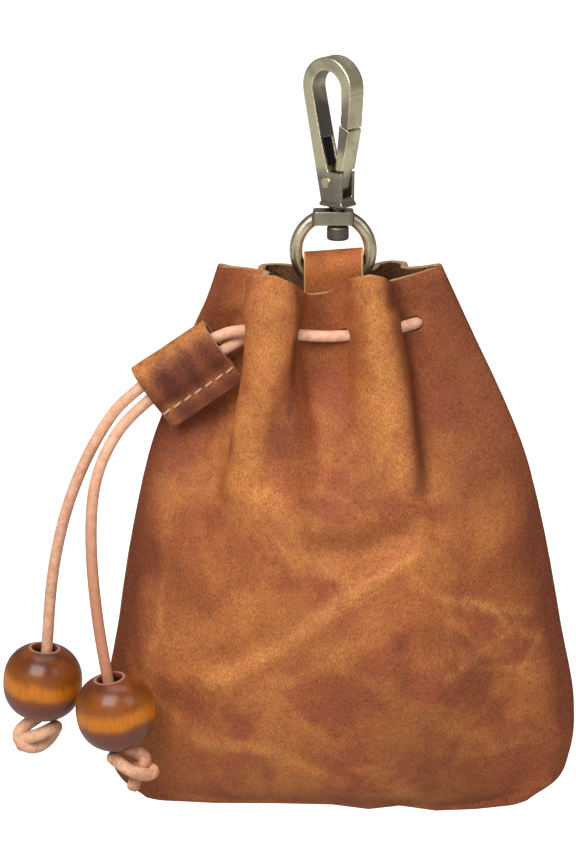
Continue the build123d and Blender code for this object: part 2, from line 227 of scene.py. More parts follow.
# ---------------------------------------------------------------- node helpers
class Nodes:
    """Short calls for building one material's nodes."""

    def __init__(self, name):
        self.mat = bpy.data.materials.new(name)
        self.mat.use_nodes = True
        self.tree = self.mat.node_tree
        self.shader = self.tree.nodes["Principled BSDF"]
        self.coord = self.tree.nodes.new("ShaderNodeTexCoord").outputs["Object"]

    def put(self, socket, value):
        if isinstance(value, bpy.types.NodeSocket):
            self.tree.links.new(value, socket)
        elif isinstance(value, tuple) and len(value) == 3 and socket.type == "RGBA":
            socket.default_value = (*value, 1)
        else:
            socket.default_value = value

    def noise(self, scale, detail=3.0, rough=0.55, distort=0.0, vector=None):
        node = self.tree.nodes.new("ShaderNodeTexNoise")
        self.put(node.inputs["Vector"], vector or self.coord)
        node.inputs["Scale"].default_value = scale
        node.inputs["Detail"].default_value = detail
        node.inputs["Roughness"].default_value = rough
        node.inputs["Distortion"].default_value = distort
        return node.outputs["Fac"]

    def stretch(self, factors, turn=(0, 0, 0)):
        node = self.tree.nodes.new("ShaderNodeMapping")
        self.put(node.inputs["Vector"], self.coord)
        node.inputs["Rotation"].default_value = turn
        node.inputs["Scale"].default_value = factors
        return node.outputs["Vector"]

    def spread(self, value, low, high, out_low=0.0, out_high=1.0):
        node = self.tree.nodes.new("ShaderNodeMapRange")
        node.interpolation_type = "SMOOTHSTEP"
        for key, item in zip(("Value", "From Min", "From Max", "To Min", "To Max"),
                             (value, low, high, out_low, out_high)):
            self.put(node.inputs[key], item)
        return node.outputs["Result"]

    def mix(self, share, first, second, blend="MIX"):
        node = self.tree.nodes.new("ShaderNodeMix")
        node.data_type = "RGBA"
        node.blend_type = blend
        self.put(node.inputs["Factor"], share)
        self.put(node.inputs[6], first)
        self.put(node.inputs[7], second)
        return node.outputs[2]

    def sum(self, first, second, how="ADD"):
        node = self.tree.nodes.new("ShaderNodeMath")
        node.operation = how
        self.put(node.inputs[0], first)
        self.put(node.inputs[1], second)
        return node.outputs[0]

    def painted(self, name):
        node = self.tree.nodes.new("ShaderNodeAttribute")
        node.attribute_name = name
        return node.outputs["Fac"]

    def axis_value(self, axis):
        node = self.tree.nodes.new("ShaderNodeSeparateXYZ")
        self.put(node.inputs[0], self.coord)
        return node.outputs[axis]

    def bump(self, height, distance, strength=1.0, after=None):
        node = self.tree.nodes.new("ShaderNodeBump")
        self.put(node.inputs["Height"], height)
        node.inputs["Distance"].default_value = distance
        node.inputs["Strength"].default_value = strength
        if after is not None:
            self.put(node.inputs["Normal"], after)
        return node.outputs["Normal"]

    def finish(self, **values):
        for key, value in values.items():
            self.put(self.shader.inputs[key.replace("_", " ")], value)
        return self.mat


# ---------------------------------------------------------------- materials
def leather(name, light, mid, dark, red, painted=False, shadow_below=None, raw_beyond=None):
    """Oiled leather that pales where it is pulled up: ochre and red-brown clouds, a fine mottled grain and
    darker pores, with painted highlight and painted shade from the mesh, and a painted shadow low down where
    asked.
    """
    n = Nodes(name)
    cloud = n.spread(n.noise(24, 3.0, 0.55, 1.0), 0.40, 0.60)
    patch = n.spread(n.noise(52, 5.0, 0.62, 0.6), 0.42, 0.64)
    smudge = n.spread(n.noise(27, 5.0, 0.6, 1.4), 0.50, 0.66)
    colour = n.mix(cloud, red, mid)
    colour = n.mix(n.sum(patch, 0.55, "MULTIPLY"), colour, light)
    colour = n.mix(n.sum(smudge, 0.65, "MULTIPLY"), colour, dark)
    # Painted shadow: darker toward the lower end, where the tab passes behind the front of the bag.
    if shadow_below is not None:
        colour = n.mix(n.spread(n.axis_value("Z"), shadow_below, shadow_below - 0.006, 0.0, 0.55), colour, dark)
    if painted:
        # Painted on the mesh: paler pulled-up creases with painted highlight on the pleat tops, then painted
        # shade.
        pull_and_highlight = n.sum(n.painted("pull_and_highlight"), n.spread(n.noise(300, 4.0, 0.6), 0.28, 0.60, 0.35, 1.0), "MULTIPLY")
        colour = n.mix(pull_and_highlight, colour, (0.655, 0.262, 0.070))
        colour = n.mix(n.painted("shade"), colour, tuple(0.55 * c for c in red))
    if raw_beyond is not None:
        away = n.sum(n.axis_value("X"), 0.0, "ABSOLUTE")
        colour = n.mix(n.spread(away, raw_beyond, raw_beyond + 0.0002, 0.0, 0.75), colour, (0.72, 0.42, 0.19))
    grain = n.noise(2300, 4.0, 0.6, 0.0, n.stretch((1.25, 1.0, 0.75), (0, 0.5, 0)))
    fleck = n.noise(4300, 2.0, 0.6)
    fuzz = n.noise(700, 4.0, 0.7)
    colour = n.mix(n.spread(grain, 0.48, 0.66, 0.0, 0.70), colour, (1.45, 1.42, 1.30), "MULTIPLY")
    colour = n.mix(n.spread(grain, 0.50, 0.34, 0.0, 0.65), colour, (0.52, 0.44, 0.42), "MULTIPLY")
    colour = n.mix(n.spread(fleck, 0.55, 0.70, 0.0, 0.45), colour, (0.60, 0.52, 0.48), "MULTIPLY")
    colour = n.mix(n.spread(fuzz, 0.50, 0.70, 0.0, 0.30), colour, (0.66, 0.56, 0.52), "MULTIPLY")
    relief = n.bump(grain, 0.00024, 0.9)
    relief = n.bump(n.noise(240, 4.0, 0.6), 0.0008, 0.5, relief)
    gloss = n.spread(grain, 0.35, 0.7, 0.48, 0.64)
    return n.finish(Base_Color=colour, Roughness=gloss, Normal=relief, Specular_IOR_Level=0.22)


def suede(name, light, dark):
    n = Nodes(name)
    fuzz = n.noise(1900, 5.0, 0.75)
    colour = n.mix(n.spread(fuzz, 0.38, 0.66), dark, light)
    colour = n.mix(n.spread(n.noise(120, 4.0), 0.4, 0.7, 0.0, 0.4), colour, dark)
    return n.finish(Base_Color=colour, Roughness=0.95, Specular_IOR_Level=0.1,
                    Normal=n.bump(fuzz, 0.0007, 1.0), Sheen_Weight=0.04, Sheen_Roughness=0.6)


def cut_edge(name):
    """The raw, split edge of vegetable-tanned leather."""
    n = Nodes(name)
    fibre = n.noise(2600, 4.0, 0.7)
    colour = n.mix(n.spread(fibre, 0.35, 0.65), (0.32, 0.150, 0.06), (0.70, 0.42, 0.20))
    colour = n.mix(n.spread(n.noise(300, 3.0), 0.48, 0.7, 0.0, 0.65), colour, (0.34, 0.17, 0.075))
    return n.finish(Base_Color=colour, Roughness=0.85, Normal=n.bump(fibre, 0.0004, 0.9))


def cord_leather(name):
    """Natural round leather cord: pale pink-tan, redder toward the ends, with fine cross marks."""
    n = Nodes(name)
    fine = n.noise(2300, 3.0, 0.6)
    marks = n.noise(520, 4.0, 0.6)
    colour = n.mix(n.spread(marks, 0.34, 0.66), (0.70, 0.36, 0.225), (0.84, 0.49, 0.325))
    low = n.spread(n.axis_value("Z"), -0.080, -0.130, 0.0, 0.9)
    front = n.spread(n.axis_value("Y"), -0.0085, -0.0160, 0.15, 1.0)
    colour = n.mix(n.sum(low, front, "MULTIPLY"), colour, (0.50, 0.205, 0.110))
    colour = n.mix(n.spread(n.noise(150, 3.0, 0.6), 0.5, 0.72, 0.0, 0.3), colour, (0.62, 0.31, 0.19))
    ends = n.spread(n.axis_value("Z"), -0.158, -0.163)
    worn = n.spread(n.noise(330, 4.0, 0.65), 0.44, 0.62, 0.15, 0.8)
    colour = n.mix(n.sum(ends, worn, "MULTIPLY"), colour, (0.90, 0.53, 0.32))
    specks = n.spread(n.noise(1100, 3.0, 0.6), 0.56, 0.68, 0.0, 0.55)
    colour = n.mix(n.sum(specks, n.spread(n.axis_value("Z"), -0.090, -0.130), "MULTIPLY"), colour,
                   (0.40, 0.13, 0.07))
    colour = n.mix(n.spread(fine, 0.54, 0.74, 0.0, 0.4), colour, (0.48, 0.24, 0.15))
    relief = n.bump(n.sum(fine, n.sum(marks, 0.6, "MULTIPLY")), 0.00018, 0.6)
    return n.finish(Base_Color=colour, Roughness=0.55, Normal=relief, Specular_IOR_Level=0.3)


def bead_wood(name, turn):
    """Varnished wood: dark red-brown, with an amber band below the middle and fine upright grain."""
    n = Nodes(name)
    z = n.axis_value("Z")
    fine = n.noise(520, 3.0, 0.6, 0.0, n.stretch((2.6, 2.6, 0.3), (0, 0, turn)))
    wave = n.sum(n.sum(n.noise(75, 2.0, 0.5, 0.0, n.stretch((1, 1, 0.3), (0, 0, turn))), 0.5, "SUBTRACT"),
                 0.0050, "MULTIPLY")
    height = n.sum(n.sum(z, wave), n.sum(n.sum(fine, 0.5, "SUBTRACT"), 0.0014, "MULTIPLY"))
    cloud = n.spread(n.noise(90, 3.0, 0.6), 0.35, 0.65)
    colour = n.mix(cloud, (0.105, 0.022, 0.005), (0.25, 0.060, 0.009))
    colour = n.mix(n.spread(height, 0.0080, 0.0030, 0.0, 0.75), colour, (0.30, 0.082, 0.008))
    band = n.sum(n.spread(height, -0.0024, -0.0002), n.spread(height, 0.0038, 0.0010), "MULTIPLY")
    colour = n.mix(n.sum(band, 0.95, "MULTIPLY"), colour, (0.62, 0.185, 0.006))
    low = n.spread(height, -0.0010, -0.0038, 0.0, 0.95)
    colour = n.mix(low, colour, (0.185, 0.052, 0.030))
    colour = n.mix(n.spread(fine, 0.50, 0.72, 0.0, 0.28), colour, (0.12, 0.026, 0.005))
    rim = n.spread(n.sum(z, 0.0, "ABSOLUTE"), 0.00912, 0.00930, 0.0, 0.7)
    colour = n.mix(rim, colour, (0.42, 0.26, 0.20))
    # Painted shade: the inside of the bore is painted near black.
    inside = n.spread(n.painted("bore"), 0.2, 0.8, 0.0, 0.9)
    colour = n.mix(inside, colour, (0.035, 0.008, 0.004))
    return n.finish(Base_Color=colour, Roughness=0.42, Coat_Weight=0.5, Coat_Roughness=0.22,
                    Normal=n.bump(fine, 0.00006, 0.5), Specular_IOR_Level=0.2)


def metal(name, bright, dark, rough, brush=(1, 1, 14)):
    """Brushed antique brass: bright on the rubbed faces, grey-brown where the patina stays."""
    n = Nodes(name)
    worn = n.noise(90, 4.0, 0.6, 0.3)
    scratch = n.noise(900, 4.0, 0.65, 0.0, n.stretch(brush))
    colour = n.mix(n.spread(worn, 0.34, 0.54, 0.55, 1.0), dark, bright)
    colour = n.mix(n.sum(n.painted("patina"), 0.85, "MULTIPLY"), colour, dark)
    colour = n.mix(n.spread(scratch, 0.35, 0.75, 0.0, 0.30), colour, tuple(0.55 * c for c in dark))
    pits = n.spread(n.noise(1700, 2.0, 0.5), 0.66, 0.8, 0.0, 0.5)
    colour = n.mix(pits, colour, tuple(0.35 * c for c in dark))
    gloss = n.spread(scratch, 0.3, 0.7, rough - 0.07, rough + 0.1)
    return n.finish(Base_Color=colour, Metallic=1.0, Roughness=gloss,
                    Normal=n.bump(scratch, 0.00006, 0.5), Anisotropic=0.4)


def thread(name, light, dark):
    n = Nodes(name)
    twist = n.noise(3200, 2.0, 0.5)
    return n.finish(Base_Color=n.mix(twist, dark, light), Roughness=0.6, Normal=n.bump(twist, 0.0002, 0.8))


def plain_dark(name, colour):
    n = Nodes(name)
    spots = n.noise(700, 3.0)
    return n.finish(Base_Color=n.mix(spots, colour, tuple(1.8 * c for c in colour)), Roughness=0.5,
                    Metallic=0.8, Normal=n.bump(spots, 0.0001, 0.5))


BAG = leather("bag_leather", (0.59, 0.222, 0.056), (0.44, 0.135, 0.038), (0.21, 0.054, 0.022),
              (0.34, 0.088, 0.034), painted=True)
# The tab's leather, with a painted shadow on its lower end and pale raw edges at its sides.
STRAP = leather("strap_leather", (0.52, 0.185, 0.043), (0.43, 0.135, 0.032), (0.26, 0.068, 0.020),
                (0.42, 0.120, 0.034), shadow_below=-0.0440, raw_beyond=0.0069)
SLEEVE = leather("sleeve_leather", (0.30, 0.085, 0.034), (0.18, 0.043, 0.023), (0.09, 0.020, 0.014),
                 (0.13, 0.030, 0.019), painted=True)
INSIDE = suede("suede_inside", (0.30, 0.125, 0.048), (0.07, 0.027, 0.012))
EDGE = cut_edge("cut_edge")
CORD = cord_leather("cord_leather")
BRASS = metal("antique_brass", (1.0, 0.90, 0.60), (0.23, 0.195, 0.17), 0.32)
DARK_BRASS = metal("dark_brass", (0.22, 0.19, 0.16), (0.10, 0.09, 0.08), 0.42)
SPRING = plain_dark("spring_steel", (0.03, 0.028, 0.028))
STITCH = thread("stitch_thread", (0.78, 0.42, 0.34), (0.36, 0.13, 0.09))


# ---------------------------------------------------------------- geometry helpers
def add_mesh(name, verts, faces, materials, smooth=True):
    mesh = bpy.data.meshes.new(name)
    mesh.from_pydata([tuple(v) for v in verts], [], faces)
    for mat in materials:
        mesh.materials.append(mat)
    if smooth:
        mesh.shade_smooth()
    obj = bpy.data.objects.new(name, mesh)
    bpy.context.collection.objects.link(obj)
    return obj


def applied(obj):
    """Bakes an object's modifiers into its mesh."""
    bpy.context.view_layer.update()
    graph = bpy.context.evaluated_depsgraph_get()
    mesh = bpy.data.meshes.new_from_object(obj.evaluated_get(graph))
    obj.modifiers.clear()
    obj.data = mesh
    return obj


def hermite(knots, values, at):
    """A smooth curve through the values that doesn't overshoot them."""
    values = np.asarray(values, float)
    knots = np.asarray(knots, float)
    step = np.diff(knots)
    slope = np.diff(values, axis=0) / (step if values.ndim == 1 else step[:, None])
    tangent = np.zeros_like(values)
    tangent[1:-1] = (slope[:-1] + slope[1:]) / 2
    tangent[0], tangent[-1] = slope[0], slope[-1]
    i = np.clip(np.searchsorted(knots, at) - 1, 0, len(knots) - 2)
    h = step[i]
    s = (at - knots[i]) / h
    if values.ndim > 1:
        h, s = h[:, None], s[:, None]
    return ((1 + 2 * s) * (1 - s) ** 2 * values[i] + s * (1 - s) ** 2 * h * tangent[i]
            + s * s * (3 - 2 * s) * values[i + 1] + s * s * (s - 1) * h * tangent[i + 1])


def even_curve(points, count):
    """Points at equal steps along a smooth curve through the given points."""
    points = np.asarray(points, float)
    for _ in range(2):
        run = np.concatenate([[0], np.cumsum(np.linalg.norm(np.diff(points[:, :2], axis=0), axis=1))])
        dense = hermite(run, points, np.linspace(0, run[-1], 600))
        points = dense
    run = np.concatenate([[0], np.cumsum(np.linalg.norm(np.diff(dense[:, :2], axis=0), axis=1))])
    want = np.linspace(0, run[-1], count)
    return np.stack([np.interp(want, run, dense[:, k]) for k in range(dense.shape[1])], axis=1)


def ripple(x, y, seed, count=14, scale=1.0):
    """Smooth waves over a plane, from a few sine waves in seeded directions."""
    draw = np.random.default_rng(seed)
    total = np.zeros_like(x)
    for _ in range(count):
        turn = draw.uniform(0, 2 * math.pi)
        wave = draw.uniform(0.6, 1.6) / scale
        total += np.sin(wave * (x * math.cos(turn) + y * math.sin(turn)) + draw.uniform(0, 6.28))
    return total / math.sqrt(count)


def stroke(x, z, points, wide):
    """How near each place is to a drawn line: 1 on it, falling to 0 at its width."""
    best = np.full_like(x, 1e9)
    for (ax, az), (bx, bz) in zip(points, points[1:]):
        run = (bx - ax) ** 2 + (bz - az) ** 2
        part = np.clip(((x - ax) * (bx - ax) + (z - az) * (bz - az)) / run, 0, 1)
        best = np.minimum(best, np.hypot(x - ax - part * (bx - ax), z - az - part * (bz - az)))
    return np.exp(-(best / wide) ** 2)


# ---------------------------------------------------------------- the bag's two leather sides
# Marks in the leather of the front, as lines in the X-Z plane: pale creases where the leather is pulled up,
# painted highlight along the pleat tops, and soft folds.
FRONT_PULLS_AND_HIGHLIGHTS = [
    ([(47.5, -147.0), (52.0, -139.5), (53.0, -136.5)], 0.7, 0.55),
    ([(36.0, -145.5), (44.0, -146.0), (50.5, -145.0)], 0.7, 0.40),
    ([(33.0, -127.0), (40.0, -129.5), (44.0, -134.0)], 0.8, 0.55),
    ([(-20.0, -100.0), (-15.0, -109.0), (-9.0, -116.0), (-6.0, -119.0)], 0.7, 0.30),
    ([(27.0, -168.0), (36.0, -169.0), (47.0, -165.0)], 1.0, 0.40),
    ([(-38.0, -96.0), (-42.0, -106.0), (-42.5, -118.0), (-43.5, -136.0)], 0.8, 0.30),
    ([(-31.0, -149.0), (-18.0, -142.0), (-6.0, -133.5), (3.0, -126.5), (12.0, -120.5), (20.5, -115.5)],
     2.2, 0.72),
    ([(-24.0, -152.0), (-12.0, -148.0), (0.0, -141.0), (12.0, -131.0)], 3.6, 0.30),
    ([(-17.5, -100.0), (-12.0, -107.0), (-5.0, -116.0), (2.0, -121.0)], 2.4, 0.45),
    ([(27.0, -127.0), (38.0, -129.5), (50.0, -132.0)], 1.3, 0.60),
    ([(30.0, -146.0), (40.0, -139.0), (47.0, -135.5), (54.0, -141.0)], 1.3, 0.45),
    ([(-34.0, -163.0), (-22.0, -166.5), (-10.0, -169.0), (2.0, -176.0)], 2.2, 0.5),
    ([(-40.0, -138.0), (-30.0, -134.0), (-24.0, -131.0)], 4.5, 0.35),
    ([(2.0, -141.0), (12.0, -149.0), (26.0, -158.0), (40.0, -166.0)], 2.4, 0.40),
    ([(40.0, -152.0), (46.0, -147.0), (56.0, -150.0)], 2.0, 0.35),
    ([(-41.5, -95.0), (-43.0, -112.0), (-44.0, -130.0), (-45.0, -150.0)], 1.8, 0.35),
    # These two wide lines along the pleat tops are painted highlight, lighter where the light falls on the
    # pleats.
    ([(-15.5, -46.0), (-16.5, -62.0), (-20.0, -84.0), (-20.0, -98.0)], 4.6, 0.62),
    ([(9.0, -46.0), (11.0, -60.0), (14.0, -80.0), (16.0, -94.0)], 4.2, 0.75),
    ([(27.0, -96.0), (33.0, -104.0), (40.0, -108.0)], 5.0, 0.30),
    ([(40.0, -76.0), (44.0, -90.0), (48.0, -104.0)], 2.6, 0.35),
]
BACK_PULLS_AND_HIGHLIGHTS = [
    ([(30.0, -120.0), (10.0, -128.0), (-16.0, -142.0)], 1.6, 0.6),
    ([(-40.0, -160.0), (-22.0, -168.0), (6.0, -166.0)], 1.5, 0.45),
    ([(38.0, -150.0), (24.0, -162.0), (8.0, -172.0)], 1.6, 0.4),
    ([(-14.0, -50.0), (-15.0, -66.0), (-18.0, -86.0)], 2.2, 0.3),
    ([(14.0, -50.0), (16.0, -66.0), (19.0, -86.0)], 2.2, 0.3),
]
FRONT_SHADES = [
    ([(4.0, -150.0), (22.0, -160.0), (36.0, -168.0)], 9.0, 0.42),
    ([(44.0, -96.0), (50.0, -116.0), (52.0, -134.0)], 7.0, 0.30),
    ([(2.0, -56.0), (3.0, -68.0)], 5.0, 0.35),
    ([(-29.0, -48.0), (-34.0, -62.0), (-40.0, -78.0), (-47.0, -98.0), (-50.0, -118.0)], 5.5, 0.60),
    ([(-50.0, -118.0), (-53.5, -145.0), (-55.0, -165.0), (-52.0, -178.0)], 4.5, 0.42),
    ([(-9.4, -46.0), (-7.4, -57.0), (-8.2, -66.0), (-10.5, -79.0)], 1.1, 0.60),
    ([(14.4, -46.0), (17.0, -60.0), (19.0, -70.0), (21.4, -84.0), (23.6, -95.0)], 1.4, 0.35),
    ([(-46.0, -176.0), (-38.0, -172.0)], 7.0, 0.12),
    ([(30.0, -50.0), (38.0, -70.0), (46.0, -92.0), (53.0, -112.0)], 5.0, 0.40),
    ([(56.0, -130.0), (60.0, -155.0), (57.0, -175.0)], 3.5, 0.50),
    ([(-3.0, -48.0), (-3.5, -60.0), (-8.0, -74.0), (-12.0, -88.0)], 3.6, 0.60),
    ([(15.5, -50.0), (18.0, -66.0), (20.5, -82.0), (22.0, -98.0)], 3.0, 0.60),
    ([(24.0, -52.0), (28.0, -66.0), (32.0, -82.0), (34.0, -96.0)], 7.0, 0.45),
    ([(-26.0, -60.0), (-30.0, -74.0), (-33.0, -84.0)], 4.0, 0.45),
    ([(4.0, -88.0), (8.0, -98.0)], 7.0, 0.20),
    ([(-5.0, -112.0), (6.0, -112.0), (17.0, -108.0)], 3.4, 0.45),
    ([(-44.0, -118.0), (-36.0, -124.0), (-32.0, -128.0)], 6.0, 0.50),
    ([(-52.0, -120.0), (-54.5, -142.0), (-55.0, -165.0)], 3.0, 0.55),
    ([(28.0, -116.0), (36.0, -121.0), (46.0, -120.0)], 5.0, 0.35),
    ([(26.0, -136.0), (34.0, -144.0), (38.0, -152.0)], 6.0, 0.40),
    ([(52.0, -112.0), (56.0, -135.0), (58.0, -160.0)], 4.0, 0.45),
    ([(-16.0, -137.0), (-8.0, -132.0)], 4.0, 0.25),
    ([(-44.0, -182.0), (0.0, -183.0), (45.0, -182.0)], 3.0, 0.38),
    ([(20.0, -170.0), (34.0, -176.0)], 5.0, 0.30),
]
# Folds in the front as raised (positive) and sunk (negative) lines: points, half width, height.
FRONT_FOLDED = [
    ([(-18.5, -50.0), (-19.5, -62.0), (-22.0, -76.0), (-24.0, -90.0), (-25.0, -100.0)], 3.0, 0.9),
    ([(-23.5, -58.0), (-26.5, -72.0), (-29.0, -86.0), (-30.0, -98.0)], 2.0, -1.0),
    ([(-6.0, -58.0), (-10.0, -72.0), (-13.5, -86.0), (-15.5, -98.0)], 3.0, -1.5),
    ([(3.0, -84.0), (4.0, -96.0), (4.0, -104.0)], 8.0, 2.2),
    ([(-6.0, -113.0), (6.0, -114.5), (17.0, -110.0)], 4.0, -1.2),
    ([(14.5, -56.0), (17.0, -70.0), (18.5, -84.0), (20.0, -98.0)], 2.0, 1.2),
    ([(19.0, -54.0), (21.5, -68.0), (23.0, -84.0), (24.5, -100.0), (26.0, -112.0)], 2.4, -0.9),
    ([(-32.0, -149.5), (-18.0, -142.5), (-6.0, -134.5), (4.0, -126.5), (20.0, -116.0)], 2.4, 0.5),
    ([(-28.0, -144.0), (-14.0, -136.0), (-2.0, -128.0), (12.0, -117.5)], 3.6, -0.5),
    ([(-46.0, -100.0), (-48.0, -120.0), (-49.0, -145.0)], 2.0, 0.5),
    ([(26.0, -130.0), (38.0, -133.0), (50.0, -136.0)], 2.4, -0.6),
]
BACK_SHADES = [
    ([(46.0, -130.0), (50.0, -160.0)], 6.0, 0.4),
    ([(-46.0, -130.0), (-48.0, -160.0)], 6.0, 0.4),
]


def side_grid(folds, side, rows, columns):
    """The outer surface of one leather side, as rows of points from the rim to the bottom."""
    share = np.linspace(0, 1, rows)
    heights = RIM_Z + (OUTLINE[-1, 0] - RIM_Z) * (share - 0.055 * np.sin(2 * math.pi * share))
    levels = hermite(-OUTLINE[:, 0], OUTLINE[:, 1:], -heights)
    grid = np.zeros((rows, columns, 3))
    for r, (z, (left, right, depth, pleat)) in enumerate(zip(heights, levels)):
        pleat = min(max(pleat, 0.0), 1.0)
        fan = 1 + FAN * (RIM_Z - z) ** 2
        lean = RIGHT_LEAN * min(RIM_Z - z, 40.0) * np.maximum(folds[:, 0] - 4.0, 0) / 9.0
        spread = FOLD_MIDDLE + (folds[:, 0] - FOLD_MIDDLE) * fan + lean
        inner = np.stack([spread, folds[:, 1], folds[:, 2]], axis=1)
        row = [(left + (inner[0, 0] - left) * part, inner[0, 1] * part ** 0.7, inner[0, 2] * part)
               for part in (0.12, 0.5)]
        row += [tuple(p) for p in inner]
        row += [(right + (inner[-1, 0] - right) * part, inner[-1, 1] * part ** 0.7, inner[-1, 2] * part)
                for part in (0.5, 0.12)]
        row = np.array(row)
        even = left + (right - left) * (0.03 + 0.94 * np.linspace(0, 1, len(row)))
        row[:, 0] = pleat * row[:, 0] + (1 - pleat) * even
        reach = np.clip(np.abs(2 * (row[:, 0] - left) / (right - left) - 1), 0, 1)
        belly = depth * np.maximum(1 - reach ** 2.4, 0) ** 0.8
        row[:, 1] = np.maximum(pleat * row[:, 1] + (1 - pleat) * belly, SEAM_DEPTH)
        first = [(left + x, y, 0.0) for x, y in TURNED_SEAM]
        last = [(right - x, y, 0.0) for x, y in TURNED_SEAM[::-1]]
        row = np.vstack([first, row[1:-1], last])
        line = even_curve(row, columns)
        near_rim = np.clip((z + 80.0) / (RIM_Z + 80.0), 0, 1)
        near_low = np.clip((-150.0 - z) / 33.0, 0, 1) ** 1.6
        drop = np.interp(line[:, 0], BOTTOM_DROP[:, 0], BOTTOM_DROP[:, 1]) * near_low
        grid[r, :, 0] = line[:, 0]
        grid[r, :, 1] = side * line[:, 1]
        grid[r, :, 2] = z + line[:, 2] * near_rim ** 1.5 + drop
    return grid


def grid_normals(grid):
    along = np.gradient(grid, axis=1)
    down = np.gradient(grid, axis=0)
    normal = np.cross(down, along)
    return normal / np.maximum(np.linalg.norm(normal, axis=2, keepdims=True), 1e-9)


def paint(obj, name, values):
    layer = obj.data.attributes.new(name, "FLOAT", "POINT")
    layer.data.foreach_set("value", np.ascontiguousarray(values, dtype=np.float32).ravel())


def lowest_at(x):
    """How low the bottom edge hangs at a place across the bag."""
    low_z, left, right = OUTLINE[-1, :3]
    to_corner = np.clip(min(x - left, right - x) / 6.0, 0, 1)
    return low_z + np.interp(x, BOTTOM_DROP[:, 0], BOTTOM_DROP[:, 1]) - CLOSING_DROP * to_corner


def leather_side(name, folds, side, pulls_and_highlights, shades, folded, seed):
    """One side of the bag: gathered, wrinkled, with thickness, suede inside and raw edges."""
    rows, columns = 210, 250
    grid = side_grid(folds, side, rows, columns)
    normal = grid_normals(grid)
    if (normal[rows // 2, columns // 2, 1] > 0) != (side > 0):
        normal = -normal
    x, z = grid[:, :, 0], grid[:, :, 2]
    across = np.linspace(0, 1, columns)[None, :]
    down = np.linspace(0, 1, rows)[:, None]
    edge_fade = np.clip(np.minimum(across, 1 - across) / 0.05, 0, 1) * np.clip((1 - down) / 0.04, 0, 1)
    low = np.clip((-z - 62) / 40, 0, 1)
    lift = 0.55 * ripple(x, z, seed, 16, 11.0) * (0.35 + 0.65 * low)
    lift += 0.22 * ripple(x, z, seed + 1, 18, 4.2) * (0.4 + 0.6 * low)
    lift += 0.07 * ripple(x, z, seed + 2, 20, 1.5)
    # Paler pulled-up creases, with painted highlight along the pleat tops.
    pull_and_highlight = np.zeros_like(x)
    for points, wide, strength in pulls_and_highlights:
        wander = 0.9 * ripple(x, z, seed + 5, 8, 3.0)
        near = stroke(x + wander, z + wander, points, wide)
        pull_and_highlight += strength * near
        lift += 0.25 * strength * near
    for points, wide, rise in folded:
        wander = 0.6 * ripple(x, z, seed + 6, 8, 5.0)
        lift += rise * stroke(x + wander, z, points, wide)
    # Painted shade toward the side seams, with darker oiled edges, and along the listed shade lines.
    shade = EDGE_OIL_AND_SHADE * np.abs(2 * across - 1) ** 3 * np.ones_like(x)
    for points, wide, strength in shades:
        shade += strength * stroke(x, z, points, wide)
    grid = grid + normal * (lift * edge_fade)[:, :, None]
    grid[:, :, 1] = side * np.maximum(side * grid[:, :, 1], SEAM_GAP)
    closing = [grid[-1].copy() for _ in range(CLOSING_ROWS)]
    for k, line in enumerate(closing):
        turn = math.radians(90 * (k + 1) / CLOSING_ROWS)
        line[:, 1] = side * SEAM_GAP + (line[:, 1] - side * SEAM_GAP) * math.cos(turn)
        line[:, 2] -= CLOSING_DROP * math.sin(turn)
    grid = np.concatenate([grid, np.array(closing)], axis=0)
    pull_and_highlight = np.concatenate([pull_and_highlight, np.repeat(pull_and_highlight[-1:], CLOSING_ROWS, axis=0)])
    shade = np.concatenate([shade, np.repeat(shade[-1:], CLOSING_ROWS, axis=0)])
    rows += CLOSING_ROWS
    verts = (grid * MM).reshape(-1, 3)
    faces = []
    for r in range(rows - 1):
        for c in range(columns - 1):
            a = r * columns + c
            quad = (a, a + columns, a + columns + 1, a + 1)
            faces.append(quad if side < 0 else quad[::-1])
    obj = add_mesh(name, verts, faces, [BAG, INSIDE, EDGE])
    paint(obj, "pull_and_highlight", np.clip(pull_and_highlight, 0, 1))
    paint(obj, "shade", np.clip(shade, 0, 1))
    wall = obj.modifiers.new("wall", "SOLIDIFY")
    wall.thickness = LEATHER * MM
    wall.offset = -1
    wall.material_offset = 1
    wall.material_offset_rim = 2
    applied(obj)
    for face in obj.data.polygons:
        if face.material_index == 2 and face.center.z < (RIM_Z - 8.0) * MM:
            face.material_index = 0
    for vert in obj.data.vertices:
        vert.co.y = side * max(side * vert.co.y, 0.05 * MM)
        vert.co.z = max(vert.co.z, lowest_at(vert.co.x / MM) * MM)
    return obj


def spline_points(points, steps=24):
    """Places along the route's NURBS curve, read from the curve that Blender makes of it."""
    data = route_curve("route", points)
    data.resolution_u = steps
    obj = bpy.data.objects.new("route", data)
    bpy.context.collection.objects.link(obj)
    mesh = bpy.data.meshes.new_from_object(obj)
    places = np.array([tuple(v.co) for v in mesh.vertices])
    bpy.data.objects.remove(obj)
    return places


def route_curve(name, points, bevel=0.0):
    data = bpy.data.curves.new(name, "CURVE")
    data.dimensions = "3D"
    spline = data.splines.new("NURBS")
    spline.points.add(len(points) - 1)
    for spot, place in zip(spline.points, points):
        spot.co = (*[c * MM for c in place], 1)
    spline.order_u = 3
    spline.use_endpoint_u = True
    data.resolution_u = 16
    data.bevel_depth = bevel * MM
    data.bevel_resolution = 8
    data.use_fill_caps = True
    return data


